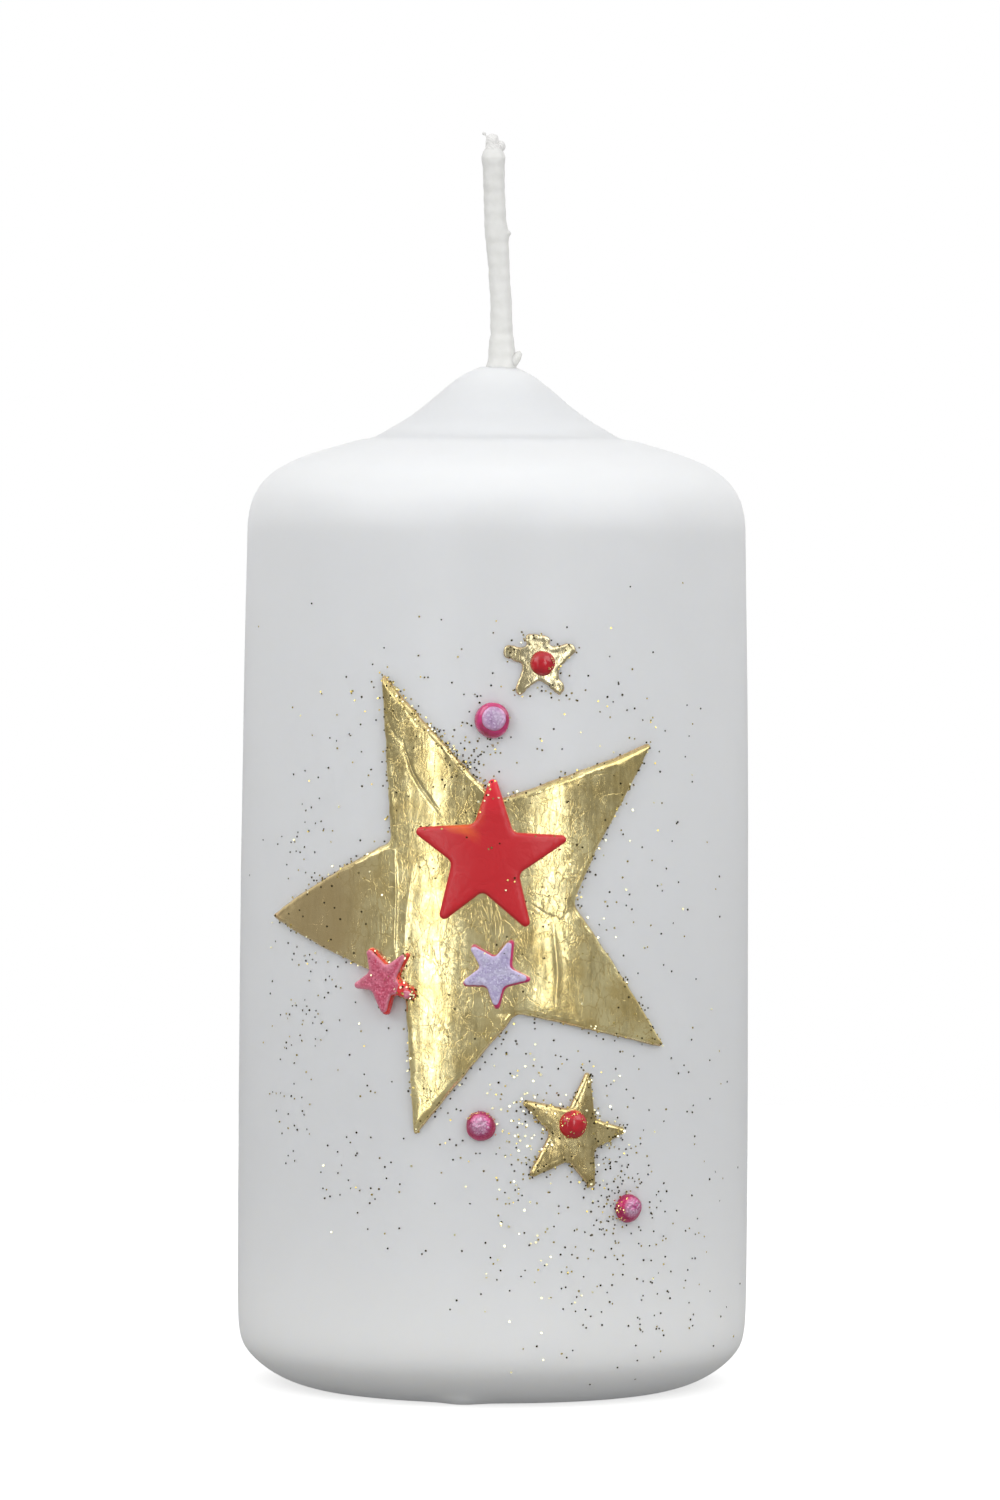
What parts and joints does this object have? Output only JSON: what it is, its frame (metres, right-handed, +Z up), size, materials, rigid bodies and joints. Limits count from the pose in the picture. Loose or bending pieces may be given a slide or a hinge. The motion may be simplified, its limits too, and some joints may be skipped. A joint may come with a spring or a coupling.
{
  "type": "unity candle",
  "caption": "White pillar candle with a drawn-up nose and a waxed wick, decorated on its front with wrapped gold, red and pearly wax stars and wax beads.",
  "frame": {"origin": "centre of the base, on the surface that the candle stands on", "axes": "+Z up along the candle's axis towards the wick, -Y out of the decorated front, +X to the right as the front is seen"},
  "size_m": [0.06, 0.0616, 0.1467],
  "materials": {
    "white_wax": "smooth white overdip wax with a satin surface, slightly translucent",
    "core_wax": "pressed paraffin wax, slightly grainy",
    "cotton_wick": "braided cotton",
    "wick_wax": "thin lumpy wax coat with the braid showing through",
    "tinned_steel": "thin stamped tinplate",
    "sheet_wax": "soft decorating wax with crushed edges",
    "gold_leaf": "wrinkled metallic gold film",
    "red_wax": "smooth red decorating wax with an orange bloom",
    "pink_wax": "soft pink-red wax",
    "magenta_wax": "soft magenta wax",
    "pink_pearl": "pearly pink film, flaked at the edges",
    "lilac_pearl": "pearly lilac film, flaked at the edges"
  },
  "bodies": {
    "root": {"wax_core": "core_wax", "outer_wax_coat": "white_wax", "wick": "cotton_wick", "wick_wax_coat": "wick_wax", "wick_sustainer": "tinned_steel", "large_star_wax_sheet": "sheet_wax", "large_star_gold_leaf": "gold_leaf", "upper_small_star_wax_sheet": "sheet_wax", "upper_small_star_gold_leaf": "gold_leaf", "lower_small_star_wax_sheet": "sheet_wax", "lower_small_star_gold_leaf": "gold_leaf", "red_star": "red_wax", "pink_star_body": "pink_wax", "pink_star_pearl_skin": "pink_pearl", "pink_star_pearl_chip": "pink_pearl", "lilac_star_body": "magenta_wax", "lilac_star_pearl_skin": "lilac_pearl", "upper_red_bead": "red_wax", "lower_red_bead": "red_wax", "upper_pink_bead": "magenta_wax", "upper_pink_bead_cap": "lilac_pearl", "lower_left_pink_bead": "magenta_wax", "lower_left_pink_bead_cap": "lilac_pearl", "lower_right_pink_bead": "magenta_wax", "lower_right_pink_bead_cap": "lilac_pearl"}
  },
  "joints": []
}
